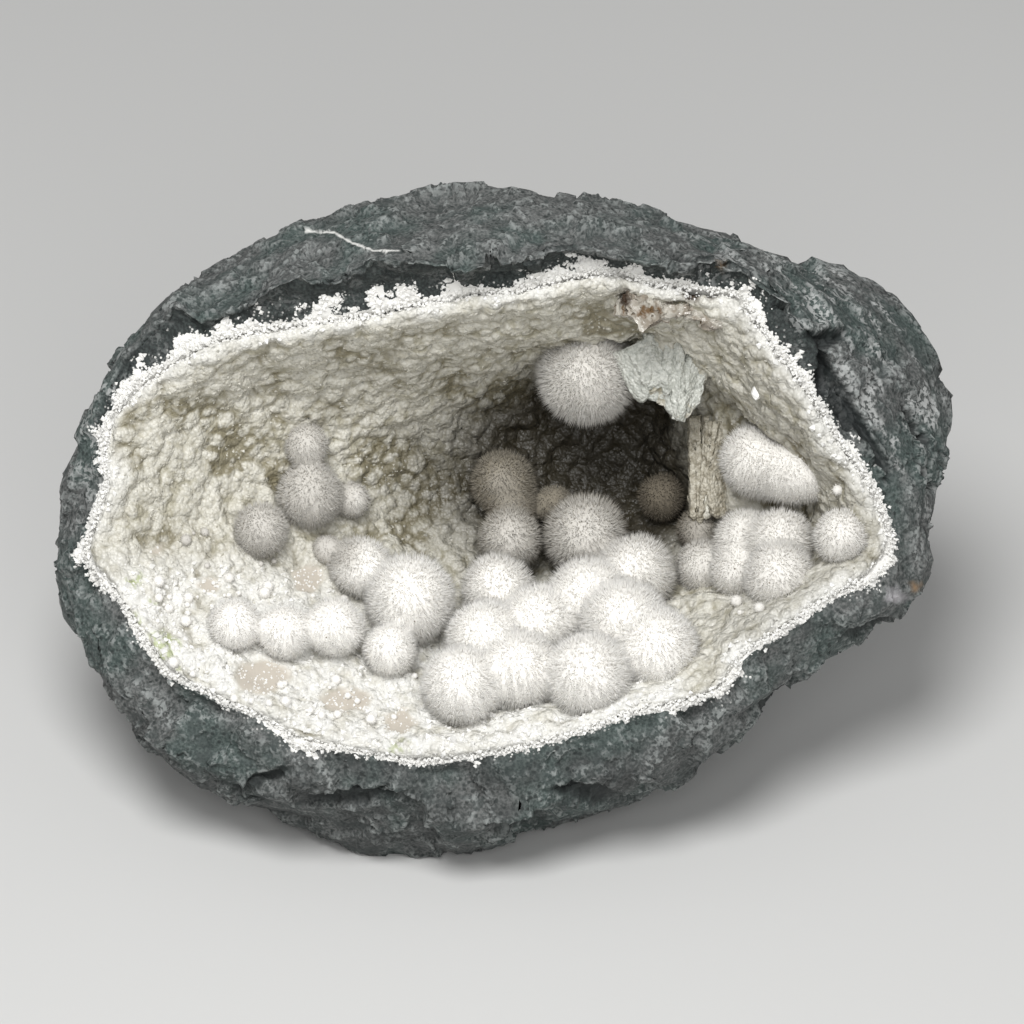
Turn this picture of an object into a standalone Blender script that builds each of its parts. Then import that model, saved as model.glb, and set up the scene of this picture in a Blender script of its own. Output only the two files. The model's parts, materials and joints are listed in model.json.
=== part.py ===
"""Okenite puffballs in a basalt vug: a broken cobble, the druse lining its hollow, and balls of fibre on it.

The specimen is shaped face on, in millimetres, as (right, up, out), where out points from the broken face
to whoever looks into it. The face is then tipped back and the whole set down on its flat underside.
"""

import math

import bmesh
import bpy
import numpy as np
from mathutils import Matrix, Vector, noise

MM = 0.001
FACE_TILT = math.radians(35)
UNDERSIDE = 61.0
GAP = 0.3
FULL_TURN = 2 * math.pi

# The grid that every hollow shape is made on
SEGMENTS = 56
SEGMENT_STRETCH = 0.8
BACK_RINGS = 6
SHOULDER_RINGS = 3
FACE_RINGS = 2
WALL_RINGS = 10
LINING_RINGS = 16

# How far apart the points are that the slope of the wall is taken from, in radians and in depth
TURN_STEP = 0.16
DEPTH_STEP = 0.06

# The cobble
BACK_OUT = -64.0
SHOULDER_BULGE = 1.2
ROUGHNESS = 1.5
ROUGHNESS_SCALE = 14.0
# Where in the noise the wear to the right, up and out is read, which sets the foot well under the weight
WEAR_SHIFTS = (58, 22, 36)

# The lining: its broken edge at the rim, its depth further in, and its lumps
CRUST_EDGE = 2.6
CRUST_DEPTH = 3.4
CRUST_DEEPENS_BY = 0.12
LUMP_SIZE = 9.0
LUMP_HEIGHT = 2.2
LUMP_MIDDLE = 0.45
LUMPS_FADE_OVER = 0.15

# Outlines run anticlockwise from the right. The widest outline of the cobble:
GIRTH = [
    (84, 3, -10), (88, 16, -14), (89, 22, -16), (88, 31, -18), (81, 43, -20), (74, 48, -20), (62, 52, -19),
    (50, 56, -16), (38, 60, -14), (22, 62.5, -10), (8, 66, -8), (1, 67, -8), (-14, 66, -8), (-24, 64.5, -9),
    (-42, 58.5, -10), (-57, 51.5, -12), (-63, 49, -12), (-72, 38.5, -13), (-76.5, 36.5, -13), (-85, 19, -14),
    (-89, 12, -14), (-90.5, 0, -14), (-89.5, -18, -13), (-80, -34, -12), (-72, -46, -12), (-63, -54, -11),
    (-44, -60.5, -10), (-35, -63.5, -10), (-30, -67, -10), (-14, -67, -10), (6, -61.5, -12), (28, -54.5, -12),
    (47, -41, -9), (57, -32, -8), (78, -18.5, -7), (82, -14, -7), (83, -6, -9),
]
# The outer edge of the broken face
FACE_EDGE = [
    (82.5, 1, -4), (78, 9, 2), (73, 18, 6), (67, 26, 9), (60, 37, 13), (53, 44, 16), (46, 49, 18), (38, 49, 20),
    (28, 51.5, 21), (18, 53, 22), (8, 52, 22), (-2, 50, 22), (-16, 48.5, 22), (-29, 50, 21), (-42, 46, 18),
    (-55, 43, 14), (-65, 41, 10), (-72, 35, 7), (-79, 27, 4), (-84, 16, 0), (-87, 4, -3), (-88, -8, -4),
    (-86.5, -17, -3), (-83, -26, 0), (-76, -37, 2), (-69, -46, 4), (-55, -51, 7), (-42, -53.5, 9),
    (-28, -53.5, 11), (-14, -56, 11), (-9, -61, 9), (-2, -60, 9), (9, -54, 11), (18, -52.5, 11), (28, -50, 10),
    (41, -44, 8), (46.5, -39, 6), (58, -25, 8), (66, -19.5, 6), (79.5, -15.5, -1),
]
# The line where the broken basalt meets the lining
RIM = [
    (74, 3, 5), (71, 9, 7), (66, 15, 9), (60, 25, 11), (52, 35, 12), (46, 45, 12), (38, 46, 12), (30, 46.5, 12),
    (22, 49.5, 12), (14, 49, 12), (6, 47, 12), (-2, 45, 12), (-8, 46, 12), (-14, 43.5, 12), (-24, 42.5, 11),
    (-28, 40.5, 11), (-42, 39, 10), (-56, 37, 8), (-64, 33.5, 7), (-72, 29, 6), (-79, 22, 4), (-82, 16, 3),
    (-79.5, 9, 3), (-82.5, 2, 2), (-85, -6, 1), (-83.5, -12, 1), (-77.5, -15, 4), (-76, -19, 6), (-69, -30, 8),
    (-62, -33.5, 9), (-47, -40, 11), (-42, -45, 12), (-34, -45, 12), (-18, -48, 13), (-6, -46.5, 14),
    (10, -43, 14), (24, -38, 14), (34, -36.5, 13), (42, -34, 12), (45.5, -30, 12), (44, -27, 12), (51, -24, 12),
    (57, -20, 11), (64, -14.5, 9), (72, -12, 5), (76, -8, 3), (76, -3, 4),
]
# The basalt wall of the hollow, at three depths
LIP = [
    (70, -2, -4), (68, 5, -4), (60, 14, -5), (50, 24, -6), (44, 31, -7), (38, 36, -8), (30, 39, -9), (18, 39, -9),
    (6, 38, -9), (-6, 35, -11), (-20, 32, -11), (-40, 31, -9), (-55, 27, -7), (-66, 18, -6), (-72, 8, -6),
    (-74, -4, -5), (-70, -14, -3), (-62, -24, 0), (-48, -33, 2), (-34, -39, 4), (-18, -42, 5), (0, -41, 5),
    (16, -38, 5), (32, -33, 4), (42, -26, 3), (52, -19, 1), (62, -12, -2),
]
MIDDLE = [
    (66, -4, -13), (64, 4, -15), (58, 13, -17), (50, 24, -19), (43, 31, -21), (36, 36, -24), (26, 38, -26),
    (14, 37, -26), (2, 33, -26), (-10, 28, -24), (-25, 24, -21), (-42, 20, -18), (-55, 12, -15), (-60, 0, -13),
    (-56, -10, -10), (-48, -19, -8), (-34, -27, -6), (-18, -31, -6), (0, -31, -7), (16, -29, -8), (32, -25, -9),
    (46, -19, -10), (58, -12, -12),
]
DEEP_CENTRE = (12, 3)
DEEP = [
    (46, -2, -25), (44, 7, -25), (41, 17, -27), (31, 27, -38), (18, 27, -41), (6, 22, -40), (-8, 16, -36),
    (-22, 11, -30), (-32, 3, -26), (-30, -8, -23), (-18, -16, -22), (0, -19, -23), (18, -18, -24),
    (34, -14, -25), (44, -9, -24),
]
DEEPEST = (25, 6, -48)

# Flat breaks on the back: the way that each one faces, and its distance from the middle of the face
BREAKS = [
    ((0.15, 0.75, -0.64), 61),
    ((0.55, 0.20, -0.81), 70),
    ((-0.55, 0.30, -0.78), 66),
    ((0.50, -0.50, -0.70), 62),
    ((-0.45, -0.45, -0.77), 64),
    ((0.10, 0.15, -0.98), 59),
]

# Puffballs by the group that they grew into, each as (right, up, out, radius)
PUFFBALLS = {
    "okenite_ceiling_ball": [(15.6, 29.4, -16, 11.2)],
    "okenite_right_wall_balls": [(49.5, 12, -14, 8), (56, 10.5, -11, 7.2), (60, 9, -8.5, 5.6)],
    "okenite_cave_ball": [(31, 4.5, -33, 5.5)],
    "okenite_left_wall_balls": [(-41, 15, -13.5, 5), (-40.5, 5, -14.5, 7.4), (-32, 4, -19, 4.2), (-50, -2, -9, 6.2)],
    "okenite_floor_balls": [
        (15.5, -3.5, -24, 9.6), (25.5, -10.8, -16, 8.8), (16, -16, -11, 9.5), (23, -21, -2.5, 10),
        (29.5, -26, 3.5, 9.4), (15.6, -31, 8.5, 9.6), (2, -30, 5, 8.8), (-9.5, -33, 8, 8.8), (-5, -24, -2, 8.8),
        (6, -21, -6, 9), (-2.4, -14.5, -14, 8.5), (0, -4, -24, 7.2), (-1.5, 7.6, -30.5, 7.4), (0.5, 2, -29, 5),
        (9, 3, -31, 4.5), (-20, -16, -7, 10), (-30, -9.5, -12.5, 7), (-37, -6, -14.5, 3.2), (-24, -26, 0.5, 6),
        (-35, -21.5, 0, 6.6), (-45, -22.5, 2, 6.2), (-55, -21, 3.5, 6), (39, -9.6, -20, 6.3), (38, -2, -25.5, 4.8),
        (46, -10.5, -12, 6.2), (47.5, -4, -15.5, 7), (54.5, -4.8, -10, 7.8), (54, -11.5, -1.5, 8),
    ],
    "okenite_far_right_ball": [(66.3, -3.4, 2.5, 6.4)],
}
BALL_DETAIL = 2
BALL_FACES_KEPT = 0.42

# Blades under the lip, as (right, up, out), (width, height, depth) and lean in degrees about out and up
BLADES = [
    ((26.5, 30, -8), (8, 11, 3.0), (25, -20)),
    ((31, 31, -8), (9, 11, 3.2), (-8, 15)),
    ((33, 27.5, -8), (4.5, 16, 2.2), (8, -30)),
    ((36.5, 26.5, -9), (4.5, 14, 2.4), (-12, 30)),
    ((29, 28.5, -9), (5, 13, 2.4), (20, 5)),
]
# Stems of the curtain between the cave and the niche on its right
CURTAIN = [
    ((38, 10, -22.8), (3.2, 22, 5.0), (2, 10)),
    ((41, 9.5, -21.2), (3.0, 21, 4.0), (-3, -20)),
]
# Broken calcite in the upper rim
CALCITE = [
    ((26.5, 43, 8), (10, 6, 6), (-8, 20)),
    ((33, 42.8, 8), (7, 4.5, 6), (10, -15)),
    ((38.5, 41.6, 7.5), (8, 3.5, 6), (-4, 10)),
]

# Colours as the photo shows them, in linear light
BASALT = (0.045, 0.055, 0.052)
DRUSE = (0.48, 0.45, 0.37)
CALCITE_BROWN = (0.30, 0.25, 0.20)
OKENITE = (0.86, 0.85, 0.81)


def clear_scene():
    for obj in list(bpy.data.objects):
        bpy.data.objects.remove(obj, do_unlink=True)


def new_collection(name, is_helper=False):
    collection = bpy.data.collections.new(name)
    bpy.context.scene.collection.children.link(collection)
    collection.hide_render = is_helper
    return collection


def new_material(name, colour, roughness):
    material = bpy.data.materials.new(name)
    material.use_nodes = True
    shader = material.node_tree.nodes["Principled BSDF"]
    shader.inputs["Base Color"].default_value = (*colour, 1)
    shader.inputs["Roughness"].default_value = roughness
    shader.inputs["Metallic"].default_value = 0
    return material


def station(outline, centre=(0, 0)):
    """A function from an angle to the point of the outline in that direction from the centre."""
    points = np.array(outline, float) - (*centre, 0)
    angles = np.arctan2(points[:, 1], points[:, 0])
    reaches = np.hypot(points[:, 0], points[:, 1])

    def at(angle):
        reach = np.interp(angle, angles, reaches, period=FULL_TURN)
        out = np.interp(angle, angles, points[:, 2], period=FULL_TURN)
        return Vector((centre[0] + reach * math.cos(angle), centre[1] + reach * math.sin(angle), out))

    return at


girth = station(GIRTH)
face_edge = station(FACE_EDGE)
rim = station(RIM)
WALL = [rim, station(LIP), station(MIDDLE), station(DEEP, DEEP_CENTRE), lambda angle: Vector(DEEPEST)]


def smooth_between(before, start, end, after, share):
    """The Catmull-Rom curve through four points, between the middle two."""
    line = 2 * start + (end - before) * share
    square = 2 * before - 5 * start + 4 * end - after
    cube = 3 * start - before - 3 * end + after
    return (line + square * share**2 + cube * share**3) / 2


def wall_station(number, angle):
    """A station of the wall at this angle. Past the deepest point the wall comes up again on the far side."""
    if number == len(WALL):
        return WALL[-2](angle + math.pi)
    return WALL[max(number, 0)](angle)


def wall(angle, depth):
    """The basalt wall of the hollow, from the rim at depth 0 to the deepest point at 1."""
    spans = len(WALL) - 1
    first = min(int(depth * spans), spans - 1)
    points = [wall_station(first + step, angle) for step in (-1, 0, 1, 2)]
    return smooth_between(*points, depth * spans - first)


def wall_normal(angle, depth):
    """The way that the wall faces, into the hollow."""
    if depth >= 1:
        return Vector((0, 0, 1))
    across = wall(angle + TURN_STEP, depth) - wall(angle - TURN_STEP, depth)
    along = wall(angle, min(depth + DEPTH_STEP, 1)) - wall(angle, max(depth - DEPTH_STEP, 0))
    return across.cross(along).normalized()


def lining_depth(point, depth):
    """How thick the lining is at a point of the wall."""
    nearest = noise.voronoi(point / LUMP_SIZE)[0][0]
    lump = LUMP_HEIGHT * (LUMP_MIDDLE - nearest)
    share = min(depth / CRUST_DEEPENS_BY, 1)
    calm = min((1 - depth) / LUMPS_FADE_OVER, 1)
    return CRUST_EDGE + (CRUST_DEPTH + lump * calm - CRUST_EDGE) * share


def lining(angle, depth, clearance=0.0):
    """The inner face of the lining, or a face this far off it."""
    point = wall(angle, depth)
    return point + wall_normal(angle, depth) * (lining_depth(point, depth) + clearance)


def lining_back(angle, depth):
    """The back of the lining, just off the basalt."""
    return wall(angle, depth) + wall_normal(angle, depth) * GAP


def back(angle, share):
    """The back of the cobble, from its furthest point at 0 to the girth at 1."""
    edge = girth(angle)
    turn = share * math.pi / 2
    return Vector((edge.x * math.sin(turn), edge.y * math.sin(turn), edge.z + (BACK_OUT - edge.z) * math.cos(turn)))


def shoulder(angle, share):
    """The worn outer surface, from the girth at 0 to the edge of the broken face at 1."""
    point = girth(angle).lerp(face_edge(angle), share)
    away = Vector((point.x, point.y, 0)).normalized()
    return point + away * SHOULDER_BULGE * math.sin(share * math.pi)


def broken_face(angle, share):
    return face_edge(angle).lerp(rim(angle), share)


def outside_of_cobble(ring, angle):
    """The outside of the cobble on the shared grid, from the pole of the back at ring 0 to the rim."""
    if ring <= BACK_RINGS:
        point = back(angle, ring / BACK_RINGS)
    elif ring <= BACK_RINGS + SHOULDER_RINGS:
        point = shoulder(angle, (ring - BACK_RINGS) / SHOULDER_RINGS)
    else:
        point = broken_face(angle, (ring - BACK_RINGS - SHOULDER_RINGS) / FACE_RINGS)
    return weathered(point, ring)


RIM_RING = BACK_RINGS + SHOULDER_RINGS + FACE_RINGS


def weathered(point, ring):
    """The point moved by the wear and the flat breaks of the cobble. The rim stays where it is."""
    if ring == RIM_RING:
        return point
    place = point / ROUGHNESS_SCALE
    wear = Vector([noise.noise(place + Vector((0, 0, shift))) for shift in WEAR_SHIFTS])
    point = point + wear * ROUGHNESS
    if ring < BACK_RINGS:
        for direction, distance in BREAKS:
            facing = Vector(direction).normalized()
            point -= facing * max(point.dot(facing) - distance, 0)
    down = Vector((0, -math.cos(FACE_TILT), -math.sin(FACE_TILT)))
    return point - down * max(point.dot(down) - UNDERSIDE, 0)


def grid_solid(name, rings, place, collection, material=None, mirrored_split=False):
    """A closed solid on a sphere's grid: place(ring, angle) gives each point, ring 0 and the last being poles."""
    mesh = bpy.data.meshes.new(name)
    shape = bmesh.new()
    bmesh.ops.create_uvsphere(shape, u_segments=SEGMENTS, v_segments=rings, radius=1)
    on_grid = {}
    for vertex in shape.verts:
        ring = round(rings * math.acos(max(-1, min(1, -vertex.co.z))) / math.pi)
        segment = round(math.atan2(vertex.co.y, vertex.co.x) * SEGMENTS / FULL_TURN)
        on_grid[vertex] = (ring, segment)
    for face in list(shape.faces):
        if len(face.verts) == 4:
            split_quad(face, on_grid, mirrored_split)
    for vertex in shape.verts:
        angle = math.atan2(vertex.co.y * SEGMENT_STRETCH, vertex.co.x)
        vertex.co = place(on_grid[vertex][0], angle)
    shape.to_mesh(mesh)
    shape.free()
    return new_object(name, mesh, collection, material)


def split_quad(face, on_grid, mirrored):
    """Splits a quad between its two corners on the rising diagonal, or on the falling one."""
    lowest = min(on_grid[vertex][0] for vertex in face.verts)
    corners = list(face.verts)
    for number, corner in enumerate(corners):
        behind = corners[number - 1]
        is_low = on_grid[corner][0] == lowest
        if is_low and (on_grid[behind][0] == lowest) == mirrored:
            bmesh.utils.face_split(face, corner, corners[number - 2])
            return


def new_object(name, mesh, collection, material=None):
    obj = bpy.data.objects.new(name, mesh)
    collection.objects.link(obj)
    if material:
        mesh.materials.append(material)
    return obj


def make_cobble(collection):
    def place(ring, angle):
        if ring <= RIM_RING:
            return outside_of_cobble(ring, angle)
        return wall(angle, (ring - RIM_RING) / WALL_RINGS)

    material = new_material("basalt", BASALT, 0.75)
    return grid_solid("basalt_matrix", RIM_RING + WALL_RINGS, place, collection, material)


def make_lining(collection):
    def place(ring, angle):
        if ring <= WALL_RINGS:
            return lining_back(angle, 1 - ring / WALL_RINGS)
        return lining(angle, (ring - WALL_RINGS - 1) / LINING_RINGS)

    material = new_material("druse", DRUSE, 0.5)
    rings = WALL_RINGS + 1 + LINING_RINGS
    return grid_solid("druse_crust", rings, place, collection, material, mirrored_split=True)


def make_keep_out(helpers):
    """All that a ball may not enter: the cobble and its lining in one, with the gap that the balls keep."""
    def place(ring, angle):
        if ring <= RIM_RING:
            return outside_of_cobble(ring, angle) + Vector((0, 0, GAP))
        return lining(angle, (ring - RIM_RING - 1) / LINING_RINGS, GAP)

    keep_out = grid_solid("keep_out", RIM_RING + 1 + LINING_RINGS, place, helpers, mirrored_split=True)
    grow_on(keep_out, [widened(*block) for block in BLADES + CURTAIN], helpers)
    keep_out.display_type = "WIRE"
    keep_out.hide_render = True
    return keep_out


def make_ball(name, centre, radius, collection, material=None):
    mesh = bpy.data.meshes.new(name)
    shape = bmesh.new()
    place = Matrix.Translation(centre)
    bmesh.ops.create_icosphere(shape, subdivisions=BALL_DETAIL, radius=radius, matrix=place)
    shape.to_mesh(mesh)
    shape.free()
    return new_object(name, mesh, collection, material)


def make_block(name, centre, size, lean, collection):
    """A crystal block, leaning in degrees about out and then about up."""
    mesh = bpy.data.meshes.new(name)
    shape = bmesh.new()
    about_out = Matrix.Rotation(math.radians(lean[0]), 4, "Z")
    about_up = Matrix.Rotation(math.radians(lean[1]), 4, "Y")
    place = Matrix.Translation(centre) @ about_out @ about_up @ Matrix.Diagonal((*size, 1))
    bmesh.ops.create_cube(shape, size=1, matrix=place)
    shape.to_mesh(mesh)
    shape.free()
    return new_object(name, mesh, collection)


def apply_modifiers(obj):
    graph = bpy.context.evaluated_depsgraph_get()
    whole = bpy.data.meshes.new_from_object(obj.evaluated_get(graph))
    obj.modifiers.clear()
    obj.data = whole


def combine(obj, others, operation):
    """The object joined with the others, or cut by them."""
    for other in others:
        modifier = obj.modifiers.new(operation.lower(), "BOOLEAN")
        modifier.operation = operation
        modifier.solver = "EXACT"
        modifier.object = other
    apply_modifiers(obj)


def simplify(obj):
    """Takes out the small faces that the joins between balls leave."""
    modifier = obj.modifiers.new("simplify", "DECIMATE")
    modifier.ratio = BALL_FACES_KEPT
    apply_modifiers(obj)


def remove_all(objects):
    for obj in objects:
        bpy.data.objects.remove(obj, do_unlink=True)


def make_ball_group(name, balls, keep_out, collection, helpers, material):
    """One solid of the balls that grew together, cut where they meet the lining."""
    first, *others = [
        make_ball(f"{name}_{number}", place, radius, helpers) for number, (*place, radius) in enumerate(balls)
    ]
    group = new_object(name, first.data.copy(), collection, material)
    if others:
        combine(group, others, "UNION")
        simplify(group)
    combine(group, [keep_out], "DIFFERENCE")
    remove_all([first, *others])
    return group


def make_balls(keep_out, collection, helpers):
    material = new_material("okenite", OKENITE, 0.9)
    return [
        make_ball_group(name, balls, keep_out, collection, helpers, material) for name, balls in PUFFBALLS.items()
    ]


def grow_on(obj, blocks, helpers):
    """Crystal blocks fused to what they grow from."""
    crystals = [make_block(f"crystal_{number}", *block, helpers) for number, block in enumerate(blocks)]
    combine(obj, crystals, "UNION")
    remove_all(crystals)


def make_calcite(keep_out, collection, helpers):
    """The broken blocks in the upper rim, grown together and cut where they meet the lining."""
    first, *others = [make_block(f"calcite_{number}", *block, helpers) for number, block in enumerate(CALCITE)]
    material = new_material("calcite", CALCITE_BROWN, 0.2)
    calcite = new_object("rim_calcite", first.data.copy(), collection, material)
    combine(calcite, others, "UNION")
    combine(calcite, [keep_out], "DIFFERENCE")
    remove_all([first, *others])
    return calcite


def widened(place, size, lean):
    """The block with the gap that a ball keeps from it on every side."""
    return place, [side + 2 * GAP for side in size], lean


def set_down(objects):
    """Tips the face back, and stands the specimen on its underside with the origin at the middle of its foot."""
    tip = Matrix.Rotation(math.pi / 2 - FACE_TILT, 4, "X")
    for obj in objects:
        obj.data.transform(Matrix.Scale(MM, 4) @ tip)
    corners = np.array([vertex.co for obj in objects for vertex in obj.data.vertices])
    middle = (corners.min(axis=0) + corners.max(axis=0)) / 2
    for obj in objects:
        obj.data.transform(Matrix.Translation((-middle[0], -middle[1], UNDERSIDE * MM)))
        obj.data.update()


def main():
    clear_scene()
    collection = new_collection("okenite_specimen")
    helpers = new_collection("helpers", is_helper=True)
    cobble = make_cobble(collection)
    crust = make_lining(collection)
    grow_on(crust, BLADES + CURTAIN, helpers)
    keep_out = make_keep_out(helpers)
    calcite = make_calcite(keep_out, collection, helpers)
    balls = make_balls(keep_out, collection, helpers)
    set_down([cobble, crust, calcite, *balls, keep_out])


if __name__ == "__main__":
    main()
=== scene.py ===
"""The looks of the okenite specimen: craggy basalt, a sugary crust with a frosty rim, and balls of fine fibre.

Shapes are worked out face on, in millimetres as (right, up, out), and then put in the frame.
"""

import json
import math

import bmesh
import bpy
import numpy as np
from mathutils import Matrix, Vector, noise
from mathutils.bvhtree import BVHTree
from mathutils.kdtree import KDTree

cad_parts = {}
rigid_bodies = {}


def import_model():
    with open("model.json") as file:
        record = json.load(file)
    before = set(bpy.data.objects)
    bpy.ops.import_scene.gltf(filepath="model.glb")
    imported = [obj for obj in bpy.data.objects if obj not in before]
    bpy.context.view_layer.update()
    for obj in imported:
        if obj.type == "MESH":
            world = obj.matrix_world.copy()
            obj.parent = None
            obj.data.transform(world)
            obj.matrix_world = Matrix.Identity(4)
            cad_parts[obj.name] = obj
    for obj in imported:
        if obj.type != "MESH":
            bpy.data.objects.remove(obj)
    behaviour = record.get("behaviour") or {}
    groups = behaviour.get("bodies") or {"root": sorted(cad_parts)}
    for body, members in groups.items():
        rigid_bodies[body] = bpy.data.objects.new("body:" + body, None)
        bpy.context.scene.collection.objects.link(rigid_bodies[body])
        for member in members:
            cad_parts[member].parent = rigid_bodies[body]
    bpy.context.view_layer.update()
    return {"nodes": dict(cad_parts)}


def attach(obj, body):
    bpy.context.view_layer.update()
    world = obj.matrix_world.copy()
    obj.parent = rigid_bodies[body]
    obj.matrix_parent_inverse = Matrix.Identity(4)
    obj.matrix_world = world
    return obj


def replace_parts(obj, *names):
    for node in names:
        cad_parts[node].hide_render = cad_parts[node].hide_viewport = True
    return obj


MM = 0.001
FACE_TILT = math.radians(35)
# Where the middle of the broken face lies in the frame
FACE_CENTRE = (0.00127, -0.01101, 0.061)
TIP_BACK = Matrix.Rotation(math.pi / 2 - FACE_TILT, 4, "X")
TO_WORLD = Matrix.Translation(FACE_CENTRE) @ TIP_BACK @ Matrix.Scale(MM, 4)
TO_FACE = TO_WORLD.inverted()
WORLD_UP = np.array(TIP_BACK.to_3x3().inverted() @ Vector((0, 0, 1)))
UNDERSIDE = 61.0

# The line where the basalt meets the crust, as the solids have it
RIM = [
    (74, 3, 5), (71, 9, 7), (66, 15, 9), (60, 25, 11), (52, 35, 12), (46, 45, 12), (38, 46, 12), (30, 46.5, 12),
    (22, 49.5, 12), (14, 49, 12), (6, 47, 12), (-2, 45, 12), (-8, 46, 12), (-14, 43.5, 12), (-24, 42.5, 11),
    (-28, 40.5, 11), (-42, 39, 10), (-56, 37, 8), (-64, 33.5, 7), (-72, 29, 6), (-79, 22, 4), (-82, 16, 3),
    (-79.5, 9, 3), (-82.5, 2, 2), (-85, -6, 1), (-83.5, -12, 1), (-77.5, -15, 4), (-76, -19, 6), (-69, -30, 8),
    (-62, -33.5, 9), (-47, -40, 11), (-42, -45, 12), (-34, -45, 12), (-18, -48, 13), (-6, -46.5, 14),
    (10, -43, 14), (24, -38, 14), (34, -36.5, 13), (42, -34, 12), (45.5, -30, 12), (44, -27, 12), (51, -24, 12),
    (57, -20, 11), (64, -14.5, 9), (72, -12, 5), (76, -8, 3), (76, -3, 4),
]

# The balls as the solids have them: (right, up, out, radius)
PUFFBALLS = {
    "okenite_ceiling_ball": [(15.6, 29.4, -16, 11.2)],
    "okenite_right_wall_balls": [(49.5, 12, -14, 8), (56, 10.5, -11, 7.2), (60, 9, -8.5, 5.6)],
    "okenite_cave_ball": [(31, 4.5, -33, 5.5)],
    "okenite_left_wall_balls": [(-41, 15, -13.5, 5), (-40.5, 5, -14.5, 7.4), (-32, 4, -19, 4.2), (-50, -2, -9, 6.2)],
    "okenite_floor_balls": [
        (15.5, -3.5, -24, 9.6), (25.5, -10.8, -16, 8.8), (16, -16, -11, 9.5), (23, -21, -2.5, 10),
        (29.5, -26, 3.5, 9.4), (15.6, -31, 8.5, 9.6), (2, -30, 5, 8.8), (-9.5, -33, 8, 8.8), (-5, -24, -2, 8.8),
        (6, -21, -6, 9), (-2.4, -14.5, -14, 8.5), (0, -4, -24, 7.2), (-1.5, 7.6, -30.5, 7.4), (0.5, 2, -29, 5),
        (9, 3, -31, 4.5), (-20, -16, -7, 10), (-30, -9.5, -12.5, 7), (-37, -6, -14.5, 3.2), (-24, -26, 0.5, 6),
        (-35, -21.5, 0, 6.6), (-45, -22.5, 2, 6.2), (-55, -21, 3.5, 6), (39, -9.6, -20, 6.3), (38, -2, -25.5, 4.8),
        (46, -10.5, -12, 6.2), (47.5, -4, -15.5, 7), (54.5, -4.8, -10, 7.8), (54, -11.5, -1.5, 8),
    ],
    "okenite_far_right_ball": [(66.3, -3.4, 2.5, 6.4)],
}

# The outer edge of the broken face
FACE_EDGE = [
    (82.5, 1), (78, 9), (73, 18), (67, 26), (60, 37), (53, 44), (46, 49), (38, 49), (28, 51.5), (18, 53),
    (8, 52), (-2, 50), (-16, 48.5), (-29, 50), (-42, 46), (-55, 43), (-65, 41), (-72, 35), (-79, 27), (-84, 16),
    (-87, 4), (-88, -8), (-86.5, -17), (-83, -26), (-76, -37), (-69, -46), (-55, -51), (-42, -53.5),
    (-28, -53.5), (-14, -56), (-9, -61), (-2, -60), (9, -54), (18, -52.5), (28, -50), (41, -44), (46.5, -39),
    (58, -25), (66, -19.5), (79.5, -15.5),
]

# Hollows and slits in the basalt: (right, up), their half length and half width, their turn in degrees, their depth
GOUGES = [
    ((-32, -55.5), (12, 2.0), 3, 2.4),
    ((-49, -51.5), (8, 1.6), 25, 2.0),
    ((15, -54.5), (8, 2.4), -8, 2.6),
    ((1, -60), (7, 2.0), 5, 1.8),
    ((52, -37), (9, 1.6), 42, 1.8),
    ((72, -21.5), (8, 1.5), 22, 1.8),
    ((62.5, 36), (5.5, 2.2), 12, 3.4),
    ((62.0, 31), (7, 2.2), -78, 3.4),
    ((67.5, 22), (9, 2.6), -62, 2.4),
    ((73, 13), (7, 1.4), -58, 1.8),
    ((82, 19), (6, 0.8), -62, 2.6),
    ((82.5, 9), (4.0, 0.8), -58, 2.4),
    ((77, 30), (4.5, 0.6), -60, 1.6),
    ((34, 52.5), (4.0, 0.9), -28, 1.6),
]
# The white vein on top, as (right, up)
VEIN = [(-41, 58), (-35, 57.4), (-32, 55.4), (-27, 53.3), (-22, 53.3)]

# Hollows beside the calcite, painted dark as shade, as (right, up, half width, half height), and its glassy slab:
# (right, up, out), (width, height, depth), lean about out and about up in degrees
SHADED_VOIDS = [(22.8, 43.8, 1.8, 2.2), (36.0, 44.6, 2.1, 1.8), (39.8, 45.0, 1.9, 1.2), (40, 38.2, 3.0, 0.6)]
SLAB = [((43.5, 39.8, 9.5), (2.4, 11.5, 3.0), (-80, 10)), ((28.4, 42.0, 10.2), (7.0, 6.4, 3.6), (40, 15))]
# Stains on the basalt: rust by the slits, and a lilac skin at the lower right
RUST = [(41.6, 50.4, 1.0, 1.4), (81.2, -13, 1.7, 1.6), (37.5, 42.5, 1.2, 0.7)]
LILAC = [(77.0, -15.6, 3.0, 1.3)]

# Blades that hang by the ceiling ball, and a ribbed curtain beside the cave, as the solids have them:
# (right, up, out), (width, height, depth), lean about out and about up in degrees
BLADES = [
    ((26.5, 30, -8), (8, 11, 3.0), (25, -20)),
    ((31, 31, -8), (9, 11, 3.2), (-8, 15)),
    ((33, 27.5, -8), (4.5, 16, 2.2), (8, -30)),
    ((36.5, 26.5, -9), (4.5, 14, 2.4), (-12, 30)),
    ((29, 28.5, -9), (5, 13, 2.4), (20, 5)),
]
CURTAIN = [
    ((38, 10, -22.8), (3.2, 22, 5.0), (2, 10)),
    ((41, 9.5, -21.2), (3.0, 21, 4.0), (-3, -20)),
]
# The felted body of a ball as a share of its radius, and how its fibres stand out of it
BODY_SHARE = 0.80
BODY_DETAIL = 4
# How softly balls join, per mm, and how far that may swell them as a share of their radius
JOINED_BALLS = (0.9, 1.06)
ONE_LONG_BALL = (0.6, 1.10)
FIBRES_PER_MM2 = 6.1
FIBRES_BEHIND = 0.25
BEHIND = -0.2
FIBRE_WIDTH = (0.12, 0.26)
FIBRE_TIPS = (0.87, 1.04)
FIBRE_LEAN = 0.10
FIBRES_A_PIECE = 45000

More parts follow.
